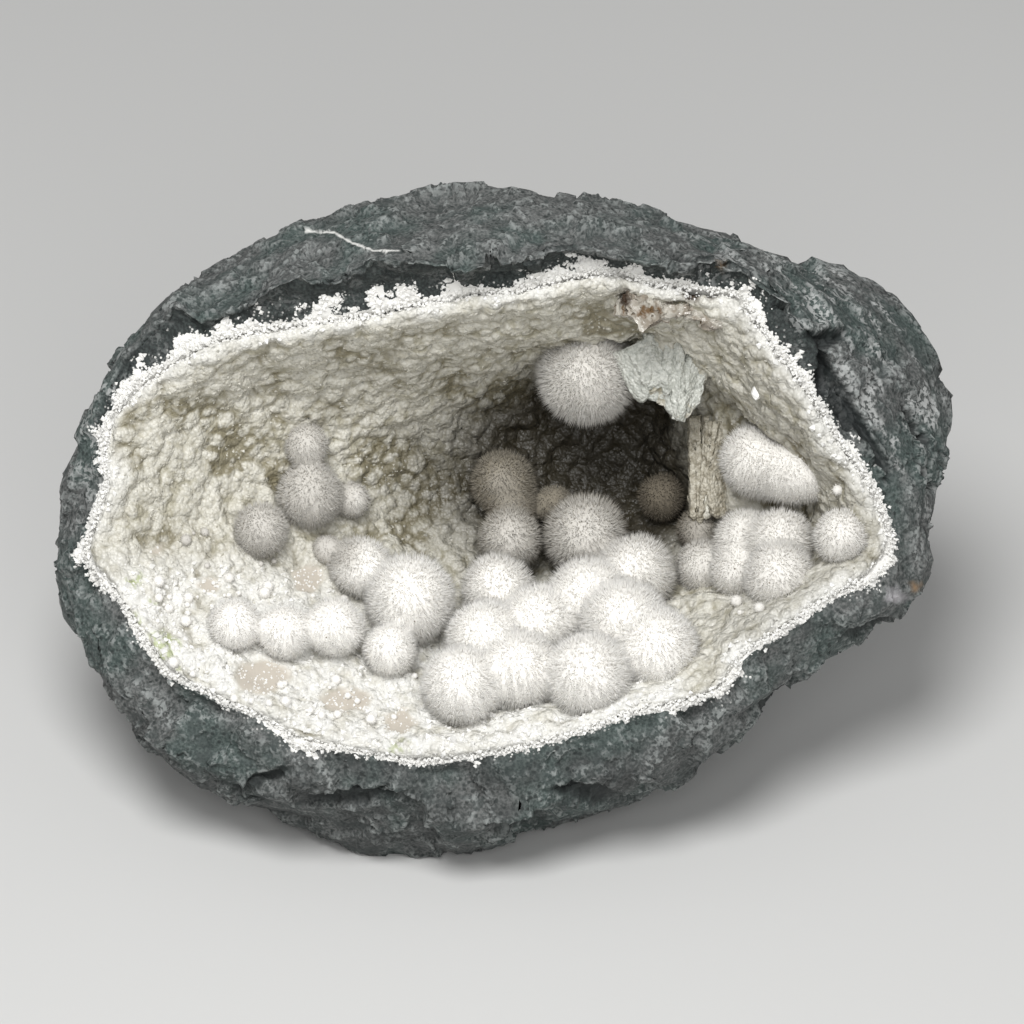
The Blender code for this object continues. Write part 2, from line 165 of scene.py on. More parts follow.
# How long an edge may be, in mm
BASALT_EDGE_FRONT = 0.95
BASALT_EDGE_BACK = 2.4
FRONT_FROM = -14
CRUST_EDGE = 0.77
BLADE_EDGE = 0.95
HIDDEN_WITHIN = 0.8
MOST_ROUNDS = 10


def new_object(name, mesh, material, smooth=True):
    obj = bpy.data.objects.new(name, mesh)
    bpy.context.scene.collection.objects.link(obj)
    mesh.materials.append(material)
    mesh.polygons.foreach_set("use_smooth", [smooth] * len(mesh.polygons))
    return obj


def mesh_of(name, points, triangles):
    """A mesh of these triangles, given face on in millimetres."""
    mesh = bpy.data.meshes.new(name)
    mesh.vertices.add(len(points))
    mesh.vertices.foreach_set("co", np.asarray(points, np.float32).ravel())
    mesh.loops.add(3 * len(triangles))
    mesh.loops.foreach_set("vertex_index", np.asarray(triangles, np.int32).ravel())
    mesh.polygons.add(len(triangles))
    mesh.polygons.foreach_set("loop_start", np.arange(0, 3 * len(triangles), 3, dtype=np.int32))
    mesh.update(calc_edges=True)
    mesh.transform(TO_WORLD)
    return mesh


def arrays_of(shape):
    """The points and triangles of a shape, which is then done with."""
    bmesh.ops.triangulate(shape, faces=shape.faces)
    shape.verts.index_update()
    points = np.array([vertex.co for vertex in shape.verts])
    triangles = np.array([[vertex.index for vertex in face.verts] for face in shape.faces])
    shape.free()
    return points, triangles


def solid_shape(node):
    """The node's solid as a shape face on, in millimetres."""
    shape = bmesh.new()
    shape.from_mesh(frame["nodes"][node].data)
    shape.transform(TO_FACE)
    bmesh.ops.remove_doubles(shape, verts=shape.verts, dist=0.002)
    return shape


def tree_of(node):
    """The node's solid, to measure distances to, in millimetres."""
    shape = solid_shape(node)
    tree = BVHTree.FromBMesh(shape)
    shape.free()
    return tree


def rounded(node):
    """The node's solid after one level of Catmull-Clark subdivision, as points and triangles."""
    shape = solid_shape(node)
    mesh = bpy.data.meshes.new("rounding")
    shape.to_mesh(mesh)
    shape.free()
    obj = bpy.data.objects.new("rounding", mesh)
    bpy.context.scene.collection.objects.link(obj)
    obj.modifiers.new("rounding", "SUBSURF").levels = 1
    finer = bmesh.new()
    finer.from_object(obj, bpy.context.evaluated_depsgraph_get())
    bpy.data.objects.remove(obj, do_unlink=True)
    bpy.data.meshes.remove(mesh)
    return arrays_of(finer)


def edges_of(triangles):
    """The edges, as pairs of points, and which edge each triangle has from corner 0 to 1, 1 to 2 and 2 to 0."""
    ends = np.sort(np.stack([triangles, np.roll(triangles, -1, axis=1)], axis=2), axis=2).reshape(-1, 2)
    most = triangles.max() + 1
    keys, place = np.unique(ends[:, 0] * most + ends[:, 1], return_inverse=True)
    return np.stack([keys // most, keys % most], axis=1), place.reshape(-1, 3)


def split(points, triangles, halves):
    """The triangles after their edges are cut at the points in halves, which holds -1 for an edge left whole."""
    kept = [triangles[(halves < 0).all(axis=1)]]
    cuts = (halves >= 0).sum(axis=1)
    for turn in range(3):
        a, b, c = np.roll(triangles, -turn, axis=1).T
        ab, bc, ca = np.roll(halves, -turn, axis=1).T
        one = (cuts == 1) & (ab >= 0)
        kept += [np.stack([a, ab, c], 1)[one], np.stack([ab, b, c], 1)[one]]
        two = (cuts == 2) & (ca < 0)
        kept.append(np.stack([ab, b, bc], 1)[two])
        reach = np.linalg.norm(points[a] - points[bc], axis=1) < np.linalg.norm(points[ab] - points[c], axis=1)
        kept += [np.stack([a, ab, bc], 1)[two & reach], np.stack([a, bc, c], 1)[two & reach]]
        kept += [np.stack([a, ab, c], 1)[two & ~reach], np.stack([ab, bc, c], 1)[two & ~reach]]
        if turn == 0:
            three = cuts == 3
            corners = [(a, ab, ca), (ab, b, bc), (ca, bc, c), (ab, bc, ca)]
            kept += [np.stack(corner, 1)[three] for corner in corners]
    return np.concatenate(kept)


def refined(points, triangles, shortest, longest):
    """Halves edges until hardly any is longer than longest(middles) allows, which is never under shortest."""
    for _ in range(MOST_ROUNDS):
        edges, place = edges_of(triangles)
        ends = points[edges]
        lengths = np.linalg.norm(ends[:, 0] - ends[:, 1], axis=1)
        maybe = np.flatnonzero(lengths > shortest)
        middles = ends[maybe].mean(axis=1)
        is_long = lengths[maybe] > longest(middles)
        if not is_long.any():
            return points, triangles
        halves = np.full(len(edges), -1)
        halves[maybe[is_long]] = len(points) + np.arange(is_long.sum())
        points = np.concatenate([points, middles[is_long]])
        triangles = split(points, triangles, halves[place])
    return points, triangles


def normals_of(points, triangles):
    a, b, c = points[triangles].transpose(1, 0, 2)
    facing = np.cross(b - a, c - a)
    total = np.zeros_like(points)
    for corner in triangles.T:
        for axis in range(3):
            total[:, axis] += np.bincount(corner, facing[:, axis], len(points))
    return unit(total)


def smoothed(points, triangles, amount, times):
    """Moves each point towards the middle of its neighbours by its amount, and again."""
    edges = edges_of(triangles)[0]
    ends = np.concatenate([edges, edges[:, ::-1]])
    count = np.bincount(ends[:, 0], minlength=len(points))
    for _ in range(times):
        middle = np.stack([np.bincount(ends[:, 0], points[ends[:, 1], axis], len(points)) for axis in range(3)], 1)
        points = points + (middle / count[:, None] - points) * amount[:, None]
    return points


def unit(vectors):
    return vectors / np.maximum(np.linalg.norm(vectors, axis=1, keepdims=True), 1e-9)


def distance_to(tree, points, most=1000.0):
    """How far each point is from the tree's surface, or most where it is farther."""
    found = (tree.find_nearest(point, most)[3] for point in points.tolist())
    return np.array([most if away is None else away for away in found])


def lumps(points, size, shift=0.0):
    """Rounded lumps about this far apart: their height from 0 to 1, and 1 in the creases between them."""
    places = ((points + shift) / size).tolist()
    near = np.array([noise.voronoi(place)[0][:2] for place in places])
    crease = np.clip(1 - (near[:, 1] - near[:, 0]) / 0.4, 0, 1)
    return np.sqrt(np.clip(1 - (near[:, 0] / 0.85) ** 2, 0, 1)), crease


def rough(points, size, octaves=3, shift=0.0):
    """Fractal noise about 0."""
    places = ((points + shift) / size).tolist()
    return np.array([noise.fractal(place, 0.9, 2.1, octaves) for place in places])


def outside_by(outline, points):
    """How far each point is outside a closed outline, seen face on, and below 0 inside it."""
    flat = points[:, :2]
    starts = np.array(outline, float)
    ends = np.roll(starts, -1, axis=0)
    nearest = np.full(len(points), np.inf)
    is_inside = np.zeros(len(points), bool)
    for start, end in zip(starts, ends):
        nearest = np.minimum(nearest, away_from(start, end, flat))
        spans = (start[1] > flat[:, 1]) != (end[1] > flat[:, 1])
        if start[1] == end[1]:
            continue
        crossing = start[0] + (flat[:, 1] - start[1]) * (end[0] - start[0]) / (end[1] - start[1])
        is_inside ^= spans & (flat[:, 0] < crossing)
    return np.where(is_inside, -nearest, nearest)


def away_from(start, end, flat):
    """How far flat points are from the line between two."""
    along = np.clip((flat - start) @ (end - start) / ((end - start) @ (end - start)), 0, 1)
    return np.linalg.norm(flat - start - np.outer(along, end - start), axis=1)


def rim_tree():
    """The rim as points a fraction of a millimetre apart."""
    corners = np.array(RIM, float)
    steps = 24
    tree = KDTree(len(corners) * steps)
    for number, start in enumerate(corners):
        end = corners[(number + 1) % len(corners)]
        for step in range(steps):
            place = start + (end - start) * step / steps
            tree.insert(place, number * steps + step)
    tree.balance()
    return tree


def rim_distance(points):
    return np.array([rim.find(point)[2] for point in points.tolist()])


def store(mesh, name, values):
    attribute = mesh.attributes.new(name, "FLOAT", "POINT")
    attribute.data.foreach_set("value", np.asarray(values, np.float32))


class Look:
    """A material being wired up, with a short method for each kind of node that it uses."""

    def __init__(self, name, roughness):
        self.material = bpy.data.materials.new(name)
        self.material.use_nodes = True
        self.tree = self.material.node_tree
        self.shader = self.tree.nodes["Principled BSDF"]
        self.shader.inputs["Roughness"].default_value = roughness
        self.place = self.tree.nodes.new("ShaderNodeTexCoord").outputs["Object"]

    def feed(self, socket, value):
        if isinstance(value, bpy.types.NodeSocket):
            self.tree.links.new(value, socket)
        else:
            socket.default_value = (*value, 1) if isinstance(value, tuple) else value

    def noise(self, size, detail=4, distortion=0.0):
        """Noise whose features are about this many millimetres across."""
        node = self.tree.nodes.new("ShaderNodeTexNoise")
        self.feed(node.inputs["Vector"], self.place)
        self.feed(node.inputs["Scale"], 1 / (size * MM))
        self.feed(node.inputs["Detail"], float(detail))
        self.feed(node.inputs["Distortion"], distortion)
        return node.outputs["Fac"]

    def wandering(self, size, amount):
        """The place shifted by noise whose features are about size across, by up to this many millimetres."""
        node = self.tree.nodes.new("ShaderNodeTexNoise")
        self.feed(node.inputs["Vector"], self.place)
        self.feed(node.inputs["Scale"], 1 / (size * MM))
        shifted = self.tree.nodes.new("ShaderNodeVectorMath")
        shifted.operation = "MULTIPLY_ADD"
        self.feed(shifted.inputs[0], node.outputs["Color"])
        shifted.inputs[1].default_value = [amount * MM] * 3
        self.feed(shifted.inputs[2], self.place)
        return shifted.outputs["Vector"]

    def cells(self, size, place=None):
        """How far each point is from the middle of its cell, as a share of about this many millimetres."""
        node = self.tree.nodes.new("ShaderNodeTexVoronoi")
        self.feed(node.inputs["Vector"], place or self.place)
        self.feed(node.inputs["Scale"], 1 / (size * MM))
        return node.outputs["Distance"]

    def beads(self, size, place=None):
        """Rounded heights about this far apart, highest in their middles."""
        return self.math("SUBTRACT", 1.0, self.cells(size, place))

    def cell_shades(self, size):
        """A shade of its own for each cell about this many millimetres across."""
        node = self.tree.nodes.new("ShaderNodeTexVoronoi")
        self.feed(node.inputs["Vector"], self.place)
        self.feed(node.inputs["Scale"], 1 / (size * MM))
        return node.outputs["Color"]

    def attribute(self, name):
        node = self.tree.nodes.new("ShaderNodeAttribute")
        node.attribute_name = name
        return node.outputs["Fac"]

    def math(self, operation, first, second=0.0):
        node = self.tree.nodes.new("ShaderNodeMath")
        node.operation = operation
        self.feed(node.inputs[0], first)
        self.feed(node.inputs[1], second)
        return node.outputs[0]

    def between(self, value, low, high):
        """0 below low, 1 above high, and smooth between them. High may be the lower of the two."""
        node = self.tree.nodes.new("ShaderNodeMapRange")
        node.interpolation_type = "SMOOTHSTEP"
        is_rising = low < high
        self.feed(node.inputs["Value"], value)
        self.feed(node.inputs["From Min"], min(low, high))
        self.feed(node.inputs["From Max"], max(low, high))
        self.feed(node.inputs["To Min"], 0.0 if is_rising else 1.0)
        self.feed(node.inputs["To Max"], 1.0 if is_rising else 0.0)
        return node.outputs["Result"]

    def mix(self, share, first, second):
        node = self.tree.nodes.new("ShaderNodeMix")
        node.data_type = "RGBA"
        self.feed(node.inputs["Factor"], share)
        self.feed(node.inputs[6], first)
        self.feed(node.inputs[7], second)
        return node.outputs[2]

    def bump(self, height, distance, strength=1.0, after=None):
        node = self.tree.nodes.new("ShaderNodeBump")
        self.feed(node.inputs["Height"], height)
        self.feed(node.inputs["Distance"], distance * MM)
        self.feed(node.inputs["Strength"], strength)
        if after is not None:
            self.feed(node.inputs["Normal"], after)
        return node.outputs["Normal"]

    def finish(self, colour, normal=None):
        self.feed(self.shader.inputs["Base Color"], colour)
        if normal is not None:
            self.feed(self.shader.inputs["Normal"], normal)
        return self.material


def basalt_look():
    look = Look("basalt", 0.75)
    grain = look.noise(0.55, detail=5)
    patches = look.noise(4.0, detail=5, distortion=0.2)
    wide = look.noise(19, detail=3)
    shaded_fresh_band = look.attribute("shaded_fresh_band")
    speckle = look.between(grain, 0.36, 0.66)
    grey = look.mix(speckle, (0.056, 0.062, 0.060), (0.138, 0.142, 0.138))
    teal = look.mix(speckle, (0.036, 0.053, 0.049), (0.098, 0.122, 0.114))
    colour = look.mix(look.between(wide, 0.44, 0.60), grey, teal)
    blotch = look.math("MULTIPLY", look.between(patches, 0.46, 0.38), 0.5)
    colour = look.mix(blotch, colour, (0.036, 0.048, 0.046))
    dark = look.math("MULTIPLY", look.between(look.cells(1.5), 0.36, 0.20), look.between(patches, 0.36, 0.5))
    colour = look.mix(look.math("MULTIPLY", dark, 0.8), colour, (0.014, 0.020, 0.019))
    # Painted shade: the fresh fracture band at the top is painted near-black, as it faces down away from the light.
    shaded_band = look.mix(look.between(grain, 0.35, 0.7), (0.007, 0.010, 0.010), (0.034, 0.045, 0.042))
    colour = look.mix(look.math("MULTIPLY", shaded_fresh_band, 0.94), colour, shaded_band)
    streaks = look.between(look.noise(0.9, detail=5), 0.45, 0.56)
    pale = look.math("MULTIPLY", streaks, look.attribute("weathered"))
    colour = look.mix(look.math("MULTIPLY", pale, 0.85), colour, (0.44, 0.45, 0.44))
    worn = look.math("MULTIPLY", look.attribute("ridge"), look.between(look.noise(1.1, detail=4), 0.44, 0.58))
    colour = look.mix(look.math("MULTIPLY", worn, 0.6), colour, (0.34, 0.36, 0.35))
    # Painted shade: near-black in the hollows and slits, in the hollows by the calcite, and in patches towards the
    # bottom.
    colour = look.mix(look.math("MULTIPLY", look.attribute("hollow_and_shade"), 0.85), colour, (0.010, 0.013, 0.013))
    colour = look.mix(look.attribute("rust"), colour, (0.30, 0.19, 0.10))
    colour = look.mix(look.attribute("lilac"), colour, (0.50, 0.48, 0.50))
    colour = look.mix(look.attribute("vein"), colour, (0.72, 0.72, 0.69))
    near = look.attribute("frost")
    flecks = look.math("MULTIPLY", look.between(look.cells(0.9), 0.34, 0.20), look.between(near, -0.6, 0.2))
    colour = look.mix(flecks, colour, (0.72, 0.71, 0.68))
    lace = look.math("MULTIPLY", look.math("SUBTRACT", look.noise(0.9, detail=3), 0.5), 1.8)
    colour = look.mix(look.between(look.math("ADD", near, lace), 0.25, 0.40), colour, (0.78, 0.77, 0.74))
    normal = look.bump(look.noise(1.3, detail=5), 0.4, 0.6)
    normal = look.bump(grain, 0.14, 0.6, after=normal)
    return look.finish(colour, normal)


def crust_look():
    look = Look("crust", 0.42)
    sugar = look.cells(0.75)
    nodules = look.cells(2.4, look.wandering(3.0, 0.9))
    crease = look.attribute("crease")
    base = look.mix(look.noise(7, detail=2), (0.53, 0.51, 0.435), (0.64, 0.62, 0.55))
    colour = look.mix(look.math("MULTIPLY", look.cell_shades(0.8), 0.5), base, (0.70, 0.685, 0.62))
    # Painted shade in the gaps between the sugar grains and, in patches, between the nodules.
    sugar_gap_shade = look.math("MULTIPLY", look.between(sugar, 0.45, 0.8), 0.35)
    colour = look.mix(sugar_gap_shade, colour, (0.34, 0.31, 0.22))
    patchy = look.between(look.noise(6, detail=3), 0.45, 0.60)
    between = look.math("MULTIPLY", look.between(nodules, 0.42, 0.72), look.math("MULTIPLY", patchy, 0.6))
    colour = look.mix(between, colour, (0.27, 0.245, 0.155))
    # Darker and olive in the creases: partly the crust's own olive colour, partly painted shade. On the druse
    # crystals the same attribute is a random darker tone.
    shade = look.math("MULTIPLY", look.between(crease, 0.2, 1.1), 0.85)
    colour = look.mix(shade, colour, (0.19, 0.165, 0.095))
    # Painted shade: near-black deep in the cave, and a little darker on the right side.
    colour = look.mix(look.attribute("painted_crust_shade"), colour, (0.024, 0.019, 0.010))
    colour = look.mix(look.attribute("frost"), colour, (0.80, 0.795, 0.765))
    colour = look.mix(look.attribute("bare"), colour, (0.52, 0.475, 0.41))
    colour = look.mix(look.attribute("green"), colour, (0.36, 0.42, 0.16))
    # Painted shade: dark brown in the hollows beside the calcite.
    colour = look.mix(look.attribute("shaded_void"), colour, (0.050, 0.032, 0.020))
    covered = look.math("SUBTRACT", 1.0, look.attribute("bare"))
    normal = look.bump(look.math("SUBTRACT", 1.0, nodules), 1.3, look.math("MULTIPLY", covered, 0.75))
    normal = look.bump(look.math("SUBTRACT", 1.0, sugar), 0.32, look.math("MULTIPLY", covered, 0.7), after=normal)
    normal = look.bump(look.noise(0.6), 0.15, 0.5, after=normal)
    return look.finish(colour, normal)


def blade_look():
    look = Look("blade", 0.35)
    streaks = look.noise(1.2, detail=6, distortion=0.4)
    colour = look.mix(look.between(streaks, 0.35, 0.65), (0.38, 0.395, 0.355), (0.60, 0.61, 0.56))
    colour = look.mix(look.math("MULTIPLY", look.cell_shades(0.7), 0.5), colour, (0.64, 0.645, 0.60))
    return look.finish(colour, look.bump(look.beads(0.65), 0.4, 0.9))


def curtain_look():
    look = Look("curtain", 0.45)
    colour = look.mix(look.between(look.noise(1.4, detail=6), 0.35, 0.65), (0.30, 0.27, 0.205), (0.50, 0.47, 0.39))
    return look.finish(colour, look.bump(look.beads(0.65), 0.4, 0.9))


def frost_look():
    look = Look("frost", 0.5)
    colour = look.mix(look.noise(2, detail=2), (0.74, 0.73, 0.70), (0.88, 0.875, 0.85))
    return look.finish(colour)


def ball_look():
    look = Look("okenite_body", 0.9)
    dust = look.between(look.cells(3.0), 0.07, 0.045)
    white = look.mix(look.noise(5, detail=2), (0.88, 0.86, 0.82), (0.91, 0.895, 0.86))
    # Painted shade where a ball lies back from the light.
    colour = look.mix(look.attribute("painted_ball_shade"), white, (0.23, 0.205, 0.16))
    # Painted shade: dark brown for balls in the cave.
    colour = look.mix(look.attribute("deep"), colour, (0.13, 0.11, 0.08))
    colour = look.mix(dust, colour, (0.20, 0.165, 0.12))
    return look.finish(colour, look.bump(look.beads(0.28), 0.10, 0.4))


def fibre_look():
    look = Look("okenite_fibre", 0.6)
    white = look.mix(look.noise(4, detail=2), (0.88, 0.86, 0.82), (0.92, 0.905, 0.87))
    # Painted shade where a fibre lies back from the light.
    colour = look.mix(look.attribute("painted_ball_shade"), white, (0.25, 0.225, 0.18))
    # Painted shade: dark brown for fibres in the cave.
    return look.finish(look.mix(look.attribute("deep"), colour, (0.13, 0.11, 0.08)))


def faceted(points, normals, spacing, lean, most, rng):
    """The surface broken into flats about this far apart, each a plane through a point of it, with steps between."""
    number = int(len(points) / 1.2 / spacing**2)
    seeds = rng.choice(len(points), number, replace=False)
    facings = unit(normals[seeds] + rng.normal(0, lean, (number, 3)))
    tree = KDTree(number)
    for at, seed in enumerate(seeds):
        tree.insert(points[seed], at)
    tree.balance()
    wander = np.stack([rough(points, 0.6 * spacing, 2, shift) for shift in (0, 31, 57)], axis=1)
    nearest = np.array([tree.find(place)[1] for place in (points + 0.5 * spacing * wander).tolist()])
    facing = facings[nearest]
    off = np.einsum("ij,ij->i", points[seeds[nearest]] - points, facing)
    return points + facing * np.clip(off, -most, most)[:, None]


def hollow_depth(points):
    """How deep the basalt's hollows and slits are at each point, seen face on."""
    depth = np.zeros(len(points))
    worn = points[:, :2] + 0.8 * np.stack([rough(points, 3, 2), rough(points, 3, 2, 20)], axis=1)
    for middle, (half_length, half_width), turn, deep in GOUGES:
        turn = math.radians(turn)
        offset = worn - middle
        along = offset @ (math.cos(turn), math.sin(turn)) / half_length
        across = offset @ (-math.sin(turn), math.cos(turn)) / half_width
        depth = np.maximum(depth, deep * np.clip(1.3 * (1 - along**2 - across**2), 0, 1))
    return depth * (points[:, 2] > -32)


def stay_above_underside(points):
    below = np.maximum(points @ -WORLD_UP - UNDERSIDE, 0)
    return points + np.outer(below, WORLD_UP)


def frost_reach(points, base, spread):
    """How far from the rim the frost reaches, which makes its ragged edge."""
    upper = np.clip((points[:, 1] + 30) / 40, 0.2, 1) * (1 - 0.65 * np.clip((points[:, 0] - 48) / 8, 0, 1))
    wide = spread * upper * np.clip(0.35 + 1.2 * rough(points, 5.0, 3, 10), 0, 1.3)
    return base + wide + (0.5 + 0.8 * upper) * rough(points, 1.3, 3, 3)


def vein_distance(places):
    line = np.array(VEIN, float)
    away = [away_from(start, end, places[:, :2]) for start, end in zip(line, line[1:])]
    return np.where(places[:, 2] > -30, np.minimum.reduce(away), 9)


def weathering(points, outside):
    """Whitish weathering, in slanting patches on the right shoulder and the left end, and rare elsewhere."""
    turn = np.array(Matrix.Rotation(math.radians(52), 3, "Z"))
    slanting = (points @ turn.T) * (0.35, 1.0, 1.0)
    patches = np.clip(0.5 + 4.0 * (rough(slanting, 4, 3, 15) - 0.16), 0, 1)
    right_side = np.clip((points[:, 0] - 25) / 25, 0, 1) * np.clip((outside + 5) / 6, 0, 1)
    left_side = 0.7 * np.clip((-72 - points[:, 0]) / 8, 0, 1)
    upper = np.clip((points[:, 1] + 25) / 35, 0.15, 1)
    return patches * (0.18 + 0.82 * np.maximum(right_side, left_side)) * upper


def make_cobble():
    """The basalt with its flats, ledges, hollows and grain. The wall behind the crust stays as it is."""
    crust = tree_of("druse_crust")

    def longest(places):
        limits = np.where(places[:, 2] > FRONT_FROM, BASALT_EDGE_FRONT, BASALT_EDGE_BACK)
        limits = np.where(vein_distance(places) < 1.0, 0.4, limits)
        limits = np.where(hollow_depth(places) > 0, np.minimum(limits, 0.7), limits)
        return np.where(distance_to(crust, places, HIDDEN_WITHIN) < HIDDEN_WITHIN, 50, limits)

    points, triangles = arrays_of(solid_shape("basalt_matrix"))
    points, triangles = refined(points, triangles, 3, lambda places: np.maximum(longest(places), 3))
    shown = np.clip((distance_to(crust, points, 5) - HIDDEN_WITHIN) / 2.0, 0, 1)
    points = smoothed(points, triangles, 0.6 * shown, 2)
    points, triangles = refined(points, triangles, 0.4, longest)
    normals = normals_of(points, triangles)
    rng = np.random.default_rng(11)
    shown = np.clip((distance_to(crust, points, 5) - HIDDEN_WITHIN) / 2.0, 0, 1)
    near_rim = rim_distance(points)
    wander = 1.6 * np.stack([rough(points, 6), rough(points, 6, 3, 9), 0 * near_rim], axis=1)
    outside = outside_by(FACE_EDGE, points + wander)
    # The fresh fracture band at the top: pushed in below its ridge, and painted near-black as shade in basalt_look.
    shaded_fresh_band = np.clip(-outside / 0.8, 0, 1) * (points[:, 2] > -6) * np.clip((points[:, 1] - 10) / 10, 0, 1)
    broken = faceted(points, normals, 18, 0.13, 2.2, rng)
    broken = faceted(broken, normals, 7, 0.12, 0.5, rng)
    hollow_and_shade = hollow_depth(points)
    broken -= normals * hollow_and_shade[:, None]
    crags = 0.22 * rough(points, 6, 3) + 0.10 * rough(points, 1.8, 3, 40)
    broken += normals * (crags - 0.15 - 1.0 * shaded_fresh_band)[:, None]
    points += (broken - points) * shown[:, None]
    points = stay_above_underside(points)
    proud = np.einsum("ij,ij->i", points - smoothed(points, triangles, np.ones(len(points)), 3), normals)
    mesh = mesh_of("basalt_cobble", points, triangles)
    shaded_voids = spots(points, SHADED_VOIDS, 0.8)
    within_rim = (outside_by([(right, up) for right, up, _ in RIM], points) < 0.4) & (near_rim < 8)
    near = (frost_reach(points, 0.9, 3.4) - near_rim) / 2
    store(mesh, "frost", np.where(within_rim, np.maximum(near, 1.2), near) - 3 * shaded_voids)
    # Painted shade, darker towards the bottom of the basalt, in patches.
    lower = 0.55 * np.clip((-40 - points[:, 1]) / 8, 0, 1) * np.clip(0.5 + 1.5 * rough(points, 7, 3, 80), 0, 1)
    store(mesh, "hollow_and_shade", np.maximum.reduce([np.clip(hollow_and_shade / 1.8, 0, 1), shaded_voids, lower]))
    store(mesh, "rust", 0.8 * spots(points, RUST, 1.2))
    store(mesh, "lilac", 0.8 * spots(points, LILAC, 1.0))
    store(mesh, "shaded_fresh_band", shaded_fresh_band)
    store(mesh, "ridge", np.clip((proud - 0.05) / 0.25, 0, 1) * (1 - shaded_fresh_band))
    vein_width = np.maximum(0.22 + 0.2 * rough(points, 1.5, 2), 0.12)
    store(mesh, "vein", np.clip(1.5 - vein_distance(points) / vein_width, 0, 1))
    store(mesh, "weathered", weathering(points, outside))
    cobble = new_object("basalt_cobble", mesh, basalt_look())
    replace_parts(cobble, "basalt_matrix")
    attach(cobble, "root")
    return {"points": points, "triangles": triangles, "near_rim": near_rim}


# Smooth bare windows in the white floor, yellow-green stains, and places where the creases are painted darker and
# olive, partly the crust's own colour and partly painted shade: (right, up, half width, half height)
BARE_WINDOWS = [
    (-49.5, -31, 6.0, 3.4), (-33, -36.2, 5.8, 2.8), (-21.8, -40.3, 3.8, 2.5), (-41, -12, 3.6, 3.0),
    (-60.4, -13, 2.8, 1.8), (-71, -6, 2.0, 1.2),
]
GREEN_STAINS = [
    (-75, -12, 2.2, 2), (-74, -20, 1.8, 2), (-69, -25, 3.6, 3.6), (-22, -45, 3.4, 1.4), (-71, -16, 1.5, 1.5),
    (-66, -30, 1.5, 1.5),
]
DEEP_CREASES = [
    (-57, 14, 6, 6), (-44, 20.5, 4, 2.5), (-47, 9, 3.5, 7), (-14, 7, 8, 3.5), (1, 26, 7, 4), (-25, 12, 12, 6),
    (20, 39, 6, 3), (46, 18, 4, 4), (56, 3, 8, 2.5), (-66, 22, 5, 3),
]


def spots(points, centres, softness):
    """1 inside the oval spots and 0 outside, seen face on."""
    worn = points[:, :2] + 0.9 * np.stack([rough(points, 3, 2), rough(points, 3, 2, 30)], axis=1)
    amount = np.zeros(len(points))
    for right, up, half_width, half_height in centres:
        away = np.hypot((worn[:, 0] - right) / half_width, (worn[:, 1] - up) / half_height)
        amount = np.maximum(amount, np.clip((1 - away) * min(half_width, half_height) / softness, 0, 1))
    return amount


def block_share(points, blocks, margin):
    """1 well inside any of these leaning blocks and 0 from this far outside them, in mm."""
    share = np.zeros(len(points))
    for centre, size, (about_out, about_up) in blocks:
        turn = Matrix.Rotation(math.radians(about_out), 3, "Z") @ Matrix.Rotation(math.radians(about_up), 3, "Y")
        local = (points - centre) @ np.array(turn)
        outside = (np.abs(local) - np.array(size) / 2).max(axis=1)
        share = np.maximum(share, np.clip((margin - outside) / margin, 0, 1))
    return share


def crust_tones(points, normals):
    """What colours the crust: frost near the rim and on the floor, bare windows, stains, and painted shade in the
    depths, on the right side and in the hollows by the calcite.
    """
    bare = spots(points, BARE_WINDOWS, 0.9) * (points[:, 2] > -20)
    shaded_void = spots(points, SHADED_VOIDS, 0.8)
    near_rim = rim_distance(points)
    frost = 0.9 * np.clip(1.1 - near_rim / np.maximum(3.6 + 2.4 * rough(points, 5, 2), 1), 0, 1)
    floor = np.clip((normals @ WORLD_UP - 0.30) / 0.3, 0, 1) * np.clip((-4 - points[:, 1]) / 10, 0, 1)
    floor *= np.clip((points[:, 2] + 22) / 16, 0, 1) * np.clip((38 - points[:, 0]) / 6, 0.3, 1)
    # Painted shade on the crust's right side.
    right_side = 0.20 * np.clip((points[:, 0] - 40) / 8, 0, 1)
    return {
        "frost": np.maximum(frost, 0.9 * floor * np.clip(0.8 + 0.9 * rough(points, 3, 3, 5), 0.2, 1)) * (1 - bare),
        "bare": bare,
        "shaded_void": shaded_void,
        "green": 0.7 * spots(points, GREEN_STAINS, 1.2) * (rough(points, 1.2, 2, 60) > 0.05),
        "painted_crust_shade": np.maximum(0.95 * np.clip((-points[:, 2] - 22) / 12, 0, 1), right_side),
    }


def out_of_balls(places):
    """How far each place is outside the nearest ball."""
    away = [np.linalg.norm(places - centre, axis=1) - radius for centre, radius in every_ball()]
    return np.minimum.reduce(away)


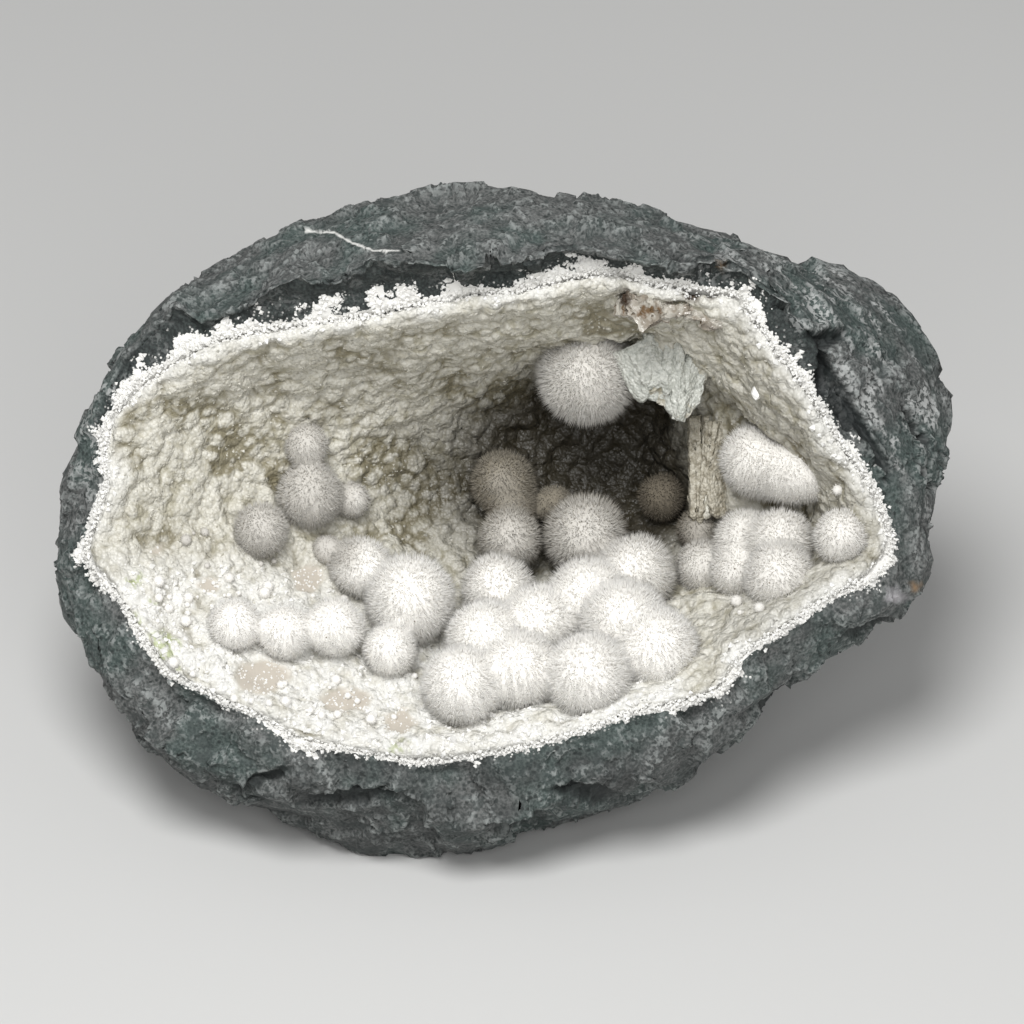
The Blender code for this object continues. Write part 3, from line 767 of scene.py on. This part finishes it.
def make_crust(material):
    """The crust with its lumps on the inner side. Its back stays as it is."""
    basalt = tree_of("basalt_matrix")

    def longest(edge):
        def limit(places):
            is_hidden = (distance_to(basalt, places, HIDDEN_WITHIN) < HIDDEN_WITHIN) | (out_of_balls(places) < 0.6)
            return np.where(is_hidden, 50, edge)

        return limit

    points, triangles = refined(*rounded("druse_crust"), 1.5, longest(1.5))
    points = smoothed(points, triangles, 0.5 * (distance_to(basalt, points, 3) > 1.5), 3)
    points, triangles = refined(points, triangles, CRUST_EDGE, longest(CRUST_EDGE))
    normals = normals_of(points, triangles)
    shown = np.clip(distance_to(basalt, points, 3) - HIDDEN_WITHIN, 0, 1)
    tones = crust_tones(points, normals)
    big, big_crease = lumps(points + 0.35 * rough(points, 4, 2)[:, None], 3.6)
    small, small_crease = lumps(points, 1.9, 50)
    uneven = rough(points, 9, 2, 70)
    height = (1.4 + 0.5 * uneven) * big + 0.6 * small + 0.8 * uneven
    calm = (1 - 0.9 * tones["bare"]) * (1 - 0.7 * block_share(points, BLADES + CURTAIN, 2.0))
    sunk = 1.0 * block_share(points, BLADES + CURTAIN, 2.0) + 1.2 * tones["shaded_void"]
    points += normals * ((height - 1.1) * shown * calm - sunk)[:, None]
    mesh = mesh_of("druse_lining", points, triangles)
    for name, values in tones.items():
        store(mesh, name, values)
    # Darker in the creases between lumps, more so in the listed places: partly the crust's own olive colour, partly
    # painted shade.
    patches = spots(points, DEEP_CREASES, 3.0)
    olive_crease_shade = big_crease * np.clip(0.45 - 1.2 * uneven + 0.9 * patches, 0.15, 1.3)
    olive_crease_shade += (0.2 + 0.5 * patches) * small_crease
    store(mesh, "crease", olive_crease_shade * (1 - tones["bare"]) * (1 - 0.6 * tones["frost"]))
    crust = new_object("druse_lining", mesh, material)
    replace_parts(crust, "druse_crust")
    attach(crust, "root")
    return {"points": points, "triangles": triangles, "shown": shown, "tones": tones, "normals": normals}


# A crystal grain before it is stretched and turned: a closed form of eight faces
GRAIN_POINTS = np.array([(1, 0, 0), (-1, 0, 0), (0, 1, 0), (0, -1, 0), (0, 0, 1), (0, 0, -1)], float)
GRAIN_TRIANGLES = np.array(
    [(0, 2, 4), (2, 1, 4), (1, 3, 4), (3, 0, 4), (2, 0, 5), (1, 2, 5), (3, 1, 5), (0, 3, 5)]
)


def turned_at_random(number, rng):
    """This many random turns, as matrices."""
    first = unit(rng.normal(size=(number, 3)))
    second = unit(np.cross(first, rng.normal(size=(number, 3))))
    return np.stack([first, second, np.cross(first, second)], axis=1)


def grains(places, sizes, rng):
    """A small crystal at each place, as points and triangles."""
    number = len(places)
    stretched = GRAIN_POINTS * rng.uniform(0.6, 1.25, (number, 6, 1)) * sizes[:, None, None]
    points = places[:, None] + np.einsum("nij,njk->nik", stretched, turned_at_random(number, rng))
    triangles = GRAIN_TRIANGLES + len(GRAIN_POINTS) * np.arange(number)[:, None, None]
    return points.reshape(-1, 3), triangles.reshape(-1, 3)


def sown(points, triangles, density, number, rng):
    """Places on the surface, drawn by area and density, and the way that it faces at each."""
    a, b, c = points[triangles].transpose(1, 0, 2)
    facing = np.cross(b - a, c - a)
    weight = np.linalg.norm(facing, axis=1) * density[triangles].mean(axis=1)
    chosen = rng.choice(len(triangles), number, p=weight / weight.sum())
    shares = rng.dirichlet((1, 1, 1), number)
    places = np.einsum("nij,ni->nj", points[triangles[chosen]], shares)
    return places, unit(facing[chosen])


def rim_grains(number, rng):
    """Grains strung along the rim, which close the gap between the basalt and the crust."""
    corners = np.array(RIM, float)
    runs = np.roll(corners, -1, axis=0) - corners
    lengths = np.linalg.norm(runs, axis=1)
    chosen = rng.choice(len(corners), number, p=lengths / lengths.sum())
    places = corners[chosen] + runs[chosen] * rng.random((number, 1)) + rng.normal((0, 0, 0.3), 0.42, (number, 3))
    return grains(places, rng.uniform(0.22, 0.55, number), rng)


# Single crystals on the crust: (right, up), (width, height), turn in degrees
LOOSE_CRYSTALS = [((49.2, 25.6), (2.0, 3.0), -18), ((-5.6, 3.6), (1.2, 3.4), -8)]


def loose_crystals(crust, rng):
    """The few crystals that stand out by their size."""
    tree = BVHTree.FromPolygons(crust["points"].tolist(), crust["triangles"].tolist())
    parts = []
    for (right, up), (width, height), turn in LOOSE_CRYSTALS:
        ground = tree.ray_cast(Vector((right, up, 40)), Vector((0, 0, -1)))[0]
        points, triangles = plate((width, height, 1.4), 0.4, rng)
        turned = points @ np.array(Matrix.Rotation(math.radians(turn), 3, "Z")).T
        parts.append((turned + np.array(ground) + (0, 0, 0.5), triangles))
    return joined(parts)


def make_frost(cobble, crust):
    """White crystals along the rim, ragged where they spread over the basalt, and strewn over the white floor."""
    rng = np.random.default_rng(21)
    points, triangles, near_rim = cobble["points"], cobble["triangles"], cobble["near_rim"]
    lace = rough(points, 1.7, 2, 33) > -0.05
    shaded_voids = spots(points, SHADED_VOIDS, 0.8)
    density = np.clip((frost_reach(points, 0.9, 3.4) - near_rim) / 0.5, 0, 1) * lace * (shaded_voids < 0.3)
    over_basalt = sown(points, triangles, density, 3900, rng)[0]
    points, triangles, tones = crust["points"], crust["triangles"], crust["tones"]
    near_rim = rim_distance(points)
    on_edge = (crust["shown"] < 0.4) * (near_rim < 3.5)
    inside = np.clip((frost_reach(points, 0.5, 0.8) - near_rim) / 0.5, 0, 1) * (tones["shaded_void"] < 0.3)
    over_crust = sown(points, triangles, np.maximum(inside, 0.7 * on_edge), 3600, rng)[0]
    is_white = (tones["frost"] > 0.45) * (crust["shown"] > 0.9) * (near_rim > 1)
    on_floor = sown(points, triangles, is_white, 2100, rng)[0]
    is_window = (tones["bare"] > 0.3) * (crust["normals"][:, 2] > 0)
    in_windows = sown(points, triangles, is_window, 240, rng)[0]
    parts = [
        grains(over_basalt, rng.uniform(0.25, 0.8, len(over_basalt)) ** 1.2, rng),
        grains(over_crust, rng.uniform(0.25, 0.6, len(over_crust)), rng),
        grains(on_floor, 0.2 + 0.75 * rng.random(len(on_floor)) ** 2.5, rng),
        grains(in_windows, rng.uniform(0.15, 0.42, len(in_windows)), rng),
        rim_grains(3200, rng),
        loose_crystals(crust, rng),
    ]
    frost = new_object("rim_frost", mesh_of("rim_frost", *joined(parts)), frost_look(), smooth=False)
    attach(frost, "root")


def make_druse_crystals(crust, material):
    """Small glinting crystals all over the crust, in the crust's colours, with its painted shade."""
    points = crust["points"]
    rng = np.random.default_rng(31)
    density = (crust["shown"] > 0.9) * (crust["tones"]["bare"] < 0.2) * (out_of_balls(points) > 0.3)
    places, facings = sown(points, crust["triangles"], density, 5200, rng)
    sizes = rng.uniform(0.25, 0.55, len(places))
    crystal_points, crystal_triangles = grains(places - facings * sizes[:, None] * 0.35, sizes, rng)
    mesh = mesh_of("druse_crystals", crystal_points, crystal_triangles)
    tones = crust_tones(places, facings)
    tones["crease"] = rng.uniform(0, 0.4, len(places))
    for name, values in tones.items():
        store(mesh, name, np.repeat(values, len(GRAIN_POINTS)))
    crystals = new_object("druse_crystals", mesh, material, smooth=False)
    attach(crystals, "root")


def plate(size, point, rng):
    """A crystal blade with a slanting foot, standing along up, as points and triangles."""
    width, height, depth = np.array(size) / 2
    rings = []
    for level, share in ((-height, 0.45), (-height * (1 - point), 1.0), (height, 1.0)):
        slant = rng.uniform(-0.25, 0.25) * width
        outline = [(-1, 0), (-0.7, -1), (0.7, -1), (1, 0), (0.7, 1), (-0.7, 1)]
        rings.append([(x * width * share, level + slant * x, z * depth * share) for x, z in outline])
    points = np.array(rings).reshape(-1, 3)
    triangles = []
    for ring in range(2):
        for side in range(6):
            a = 6 * ring + side
            b = 6 * ring + (side + 1) % 6
            triangles += [(a, a + 6, b), (b, a + 6, b + 6)]
    for side in range(1, 5):
        triangles += [(0, side, side + 1), (12, 12 + side + 1, 12 + side)]
    return points, np.array(triangles)


def bundle(blocks, number, point, rng):
    """Each block as a bundle of blades that lie side by side."""
    parts = []
    for centre, (width, height, depth), (about_out, about_up) in blocks:
        turn = Matrix.Rotation(math.radians(about_out), 3, "Z") @ Matrix.Rotation(math.radians(about_up), 3, "Y")
        for place in (np.arange(number) + 0.5) / number - 0.5:
            tall = height * rng.uniform(0.8, 1.0)
            size = (width / number * rng.uniform(1.3, 1.6), tall, depth * rng.uniform(0.7, 1.0))
            points, triangles = plate(size, point, rng)
            own = Matrix.Rotation(rng.normal(0, 0.08), 3, "Z") @ Matrix.Rotation(rng.normal(0, 0.25), 3, "Y")
            points = points @ np.array(own).T
            points += (place * width * 0.85, (height - tall) / 2, rng.normal(0, 0.25))
            parts.append((points @ np.array(turn).T + centre, triangles))
    return joined(parts)


def make_blades():
    rng = np.random.default_rng(41)
    for name, blocks, number, point, material in (
        ("hanging_blades", BLADES, 2, 0.30, blade_look()),
        ("ribbed_curtain", CURTAIN, 3, 0.10, curtain_look()),
    ):
        points, triangles = bundle(blocks, number, point, rng)
        points, triangles = refined(points, triangles, BLADE_EDGE, lambda places: np.full(len(places), BLADE_EDGE))
        normals = normals_of(points, triangles)
        points += normals * (0.5 * lumps(points, 1.6)[0] + 0.3 * rough(points, 2.0, 3) - 0.3)[:, None]
        blades = new_object(name, mesh_of(name, points, triangles), material)
        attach(blades, "root")


def every_ball():
    return [(np.array(place), radius) for group in PUFFBALLS.values() for *place, radius in group]


def neighbours(centre, radius):
    """The ball itself and those near enough to grow into it."""
    return [ball for ball in every_ball() if np.linalg.norm(ball[0] - centre) < radius + ball[1] + 3]


def reach_each_way(centre, radius, directions, joining):
    """How far the body reaches each way, where the hollows between it and its neighbours are filled softly."""
    near = neighbours(centre, radius)
    softness, most = joining
    low = np.full(len(directions), 0.4 * radius)
    high = np.full(len(directions), most * radius)
    for _ in range(14):
        middle = (low + high) / 2
        places = centre + directions * middle[:, None]
        filled = sum(np.exp(-softness * (np.linalg.norm(places - c, axis=1) - BODY_SHARE * r)) for c, r in near) > 1
        low = np.where(filled, middle, low)
        high = np.where(filled, high, middle)
    return (low + high) / 2


def outward_from_balls(places, centre, radius, joining):
    """The way out of the softly joined balls at each place."""
    total = np.zeros_like(places)
    for c, r in neighbours(centre, radius):
        offset = places - c
        away = np.linalg.norm(offset, axis=1)
        total += offset * (np.exp(-joining[0] * (away - BODY_SHARE * r)) / away)[:, None]
    return unit(total)


def ball_body(centre, radius, number, detail, joining):
    """The close-felted body of one ball: points and triangles."""
    shape = bmesh.new()
    bmesh.ops.create_icosphere(shape, subdivisions=detail, radius=1)
    directions, triangles = arrays_of(shape)
    swell = 1 + 0.05 * rough(directions, 0.8, 2, number * 7.0)
    reach = reach_each_way(centre, radius, directions, joining) * swell
    return centre + directions * reach[:, None], triangles


def joined(parts):
    """Several (points, triangles) as one."""
    points = []
    triangles = []
    start = 0
    for part_points, part_triangles in parts:
        points.append(part_points)
        triangles.append(part_triangles + start)
        start += len(part_points)
    return np.concatenate(points), np.concatenate(triangles)


THIRDS = [0, 2 * math.pi / 3, 4 * math.pi / 3]


def fibres_of(centre, radius, number, solid, joining, rng):
    """The fibres of one ball as (points, triangles): slim spikes, closed at the root."""
    amount = int(FIBRES_PER_MM2 * 4 * math.pi * radius**2)
    directions = unit(rng.normal(size=(amount, 3)))
    directions = directions[(directions[:, 2] > BEHIND) | (rng.random(amount) < FIBRES_BEHIND)]
    swell = 1 + 0.05 * rough(directions, 0.8, 2, number * 7.0)
    reach = reach_each_way(centre, radius, directions, joining) * swell
    roots = centre + directions * (reach * 0.96)[:, None]
    outward = outward_from_balls(roots, centre, radius, joining)
    lengths = radius * (rng.uniform(*FIBRE_TIPS, len(roots)) - BODY_SHARE * 0.96)
    tips = roots + unit(outward + rng.normal(0, FIBRE_LEAN, outward.shape)) * lengths[:, None]
    keep = np.einsum("ij,ij->i", outward, directions) > 0.3
    for other_centre, other_radius in neighbours(centre, radius):
        if np.any(other_centre != centre):
            keep &= np.linalg.norm(tips - other_centre, axis=1) > other_radius * (BODY_SHARE - 0.02)
    for at in np.flatnonzero(keep):
        place, facing, _, _ = solid.find_nearest(tips[at])
        keep[at] = (Vector(tips[at]) - place).dot(facing) > -1.5
    return spikes(roots[keep], tips[keep], rng)


def spikes(roots, tips, rng):
    """A slim closed spike from each root to its tip."""
    along = unit(tips - roots)
    side = unit(np.cross(along, rng.normal(size=along.shape)))
    other_side = np.cross(along, side)
    half = rng.uniform(*FIBRE_WIDTH, len(roots))[:, None] / 2
    corners = [roots + half * (side * math.cos(turn) + other_side * math.sin(turn)) for turn in THIRDS]
    points = np.stack([*corners, tips], axis=1).reshape(-1, 3)
    spike = np.array([(0, 1, 3), (1, 2, 3), (2, 0, 3), (2, 1, 0)])
    triangles = (spike[None] + 4 * np.arange(len(roots))[:, None, None]).reshape(-1, 3)
    return points, triangles


def painted_ball_shade(points):
    """How much painted shade a ball's stuff takes where it lies back from the light: with depth, and on the left
    wall, the ceiling and the right wall.
    """
    left_wall = np.clip((-28 - points[:, 0]) / 4, 0, 1) * np.clip((points[:, 1] + 12) / 4, 0, 1)
    ceiling = np.clip((points[:, 1] - 17) / 4, 0, 1) * np.clip((30 - points[:, 0]) / 3, 0, 1)
    right_wall = np.clip((points[:, 0] - 36) / 6, 0, 1)
    depth = np.clip((-points[:, 2] - 5) / 21, 0, 1) ** 1.5
    return np.maximum.reduce([depth, 0.48 * left_wall, 0.34 * ceiling, 0.2 * right_wall])


def deep(points):
    """How much painted shade a ball's stuff takes in the dark of the cave."""
    by_cave = np.clip(1 - (np.abs(points[:, 0] - 31) - 6) / 5, 0, 1)
    return 0.9 * np.clip((-points[:, 2] - 20) / 6, 0, 1) * by_cave


def add_okenite(name, parts, material, smooth):
    points, triangles = joined(parts)
    mesh = mesh_of(name, points, triangles)
    store(mesh, "painted_ball_shade", painted_ball_shade(points))
    store(mesh, "deep", deep(points))
    piece = new_object(name, mesh, material, smooth)
    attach(piece, "root")
    return piece


def make_balls():
    solid = tree_of("druse_crust")
    body_material = ball_look()
    fibre_material = fibre_look()
    rng = np.random.default_rng(5)
    for node, group in PUFFBALLS.items():
        balls = [(np.array(place), radius) for *place, radius in group]
        joining = ONE_LONG_BALL if node == "okenite_right_wall_balls" else JOINED_BALLS
        bodies = [
            ball_body(centre, radius, number, BODY_DETAIL if radius > 6.5 else BODY_DETAIL - 1, joining)
            for number, (centre, radius) in enumerate(balls)
        ]
        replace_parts(add_okenite(f"{node}_body", bodies, body_material, True), node)
        waiting = []
        pieces = []
        for number, (centre, radius) in enumerate(balls):
            waiting.append(fibres_of(centre, radius, number, solid, joining, rng))
            if sum(len(points) for points, _ in waiting) > 4 * FIBRES_A_PIECE:
                pieces.append(waiting[:-1])
                waiting = waiting[-1:]
        pieces.append(waiting)
        for number, parts in enumerate(pieces):
            add_okenite(f"{node}_fibres_{number + 1}", parts, fibre_material, True)


# Patches of the floor strewn with tiny balls: (right, up), (half width, half height), how many
STREWN = [
    ((-52, -14), (18, 6), 26),
    ((-44, -36), (24, 5), 34),
    ((-66, -18), (8, 9), 14),
    ((45, -18), (7, 4), 5),
    ((65, 5.4), (0.5, 0.5), 1),
]


def make_tiny_balls(crust):
    """Balls a millimetre or two across, sitting on the crust."""
    tree = BVHTree.FromPolygons(crust["points"].tolist(), crust["triangles"].tolist())
    rng = np.random.default_rng(61)
    bodies = []
    fibres = []
    for middle, spread, number in STREWN:
        for _ in range(number):
            right, up = rng.normal(middle, np.array(spread) / 1.6)
            radius = 0.35 + 1.1 * rng.random() ** 2
            ground = tree.ray_cast(Vector((right, up, 40)), Vector((0, 0, -1)))[0]
            if ground is None or ground.z < -25:
                continue
            centre = np.array(ground) + WORLD_UP * radius * 0.5
            if out_of_balls(centre[None])[0] < 0.3:
                continue
            shape = bmesh.new()
            bmesh.ops.create_icosphere(shape, subdivisions=2, radius=radius * 0.85)
            body_points, body_triangles = arrays_of(shape)
            bodies.append((body_points + centre, body_triangles))
            directions = unit(rng.normal(size=(int(50 * radius**2) + 20, 3)))
            tips = centre + directions * radius * rng.uniform(0.95, 1.3, (len(directions), 1))
            fibres.append(spikes(centre + directions * radius * 0.7, tips, rng))
    add_okenite("tiny_balls_body", bodies, bpy.data.materials["okenite_body"], True)
    add_okenite("tiny_balls_fibres", fibres, bpy.data.materials["okenite_fibre"], True)


def make_calcite():
    """The broken, glassy blocks in the upper rim."""
    rng = np.random.default_rng(51)
    blocks = joined([arrays_of(solid_shape("rim_calcite")), bundle(SLAB, 1, 0.1, rng)])
    points, triangles = refined(*blocks, 0.55, lambda places: np.full(len(places), 0.55))
    normals = normals_of(points, triangles)
    points = faceted(points, normals, 3.4, 0.25, 0.6, rng)
    points += normals * (0.12 * rough(points, 1.5, 3))[:, None]
    mesh = mesh_of("rim_calcite_blocks", points, triangles)
    store(mesh, "shaded_void", spots(points, SHADED_VOIDS, 0.8))
    look = Look("calcite", 0.16)
    veins = look.noise(3.5, detail=6, distortion=1.0)
    colour = look.mix(look.between(veins, 0.40, 0.62), (0.27, 0.235, 0.19), (0.50, 0.475, 0.42))
    colour = look.mix(look.between(look.noise(4, detail=5), 0.60, 0.68), colour, (0.15, 0.095, 0.05))
    # Painted shade: dark brown on the calcite by its hollows.
    colour = look.mix(look.attribute("shaded_void"), colour, (0.045, 0.028, 0.018))
    material = look.finish(colour, look.bump(look.noise(0.8), 0.15, 0.5))
    calcite = new_object("rim_calcite_blocks", mesh, material, smooth=False)
    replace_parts(calcite, "rim_calcite")
    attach(calcite, "root")


def make_floor():
    bpy.ops.mesh.primitive_plane_add(size=6)
    floor = bpy.context.object
    floor.name = "floor"
    look = Look("floor", 0.8)
    floor.data.materials.append(look.finish((0.62, 0.62, 0.61)))


def aim(obj, place, target):
    obj.location = place
    obj.rotation_euler = (Vector(target) - Vector(place)).to_track_quat("-Z", "Y").to_euler()


def add_light(name, place, size, power):
    light = bpy.data.lights.new(name, "AREA")
    light.shape = "DISK"
    light.size = size
    light.energy = power
    obj = bpy.data.objects.new(name, light)
    bpy.context.scene.collection.objects.link(obj)
    aim(obj, place, FACE_CENTRE)


def light_scene():
    add_light("key", (-0.12, -0.46, 0.96), 0.45, 9.0)
    add_light("fill", (0.15, -1.1, 0.75), 0.7, 5.0)
    world = bpy.data.worlds.new("studio")
    world.use_nodes = True
    world.node_tree.nodes["Background"].inputs["Color"].default_value = (1, 1, 1, 1)
    world.node_tree.nodes["Background"].inputs["Strength"].default_value = 0.26
    bpy.context.scene.world = world
    bpy.context.scene.view_settings.view_transform = "Standard"


# The photograph shows 5 px to a millimetre, with the middle of the face a little off the frame's middle
PX_PER_MM = 5.0
FRAME_PX = 1024
FACE_CENTRE_PX = (510, 520)
CAMERA_DISTANCE = 1500.0
SENSOR = 36.0


def add_camera():
    camera = bpy.data.cameras.new("camera")
    camera.sensor_width = SENSOR
    camera.lens = SENSOR * CAMERA_DISTANCE * PX_PER_MM / FRAME_PX
    camera.clip_end = 20
    obj = bpy.data.objects.new("camera", camera)
    bpy.context.scene.collection.objects.link(obj)
    right = (FRAME_PX / 2 - FACE_CENTRE_PX[0]) / PX_PER_MM
    up = (FACE_CENTRE_PX[1] - FRAME_PX / 2) / PX_PER_MM
    place = TO_WORLD @ Vector((right, up, CAMERA_DISTANCE))
    obj.matrix_world = Matrix.Translation(place) @ TIP_BACK
    bpy.context.scene.camera = obj


for leftover in list(bpy.data.objects):
    bpy.data.objects.remove(leftover, do_unlink=True)
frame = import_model()
rim = rim_tree()
cobble = make_cobble()
crust_material = crust_look()
crust = make_crust(crust_material)
make_frost(cobble, crust)
make_druse_crystals(crust, crust_material)
make_blades()
make_calcite()
make_balls()
make_tiny_balls(crust)
make_floor()
light_scene()
add_camera()
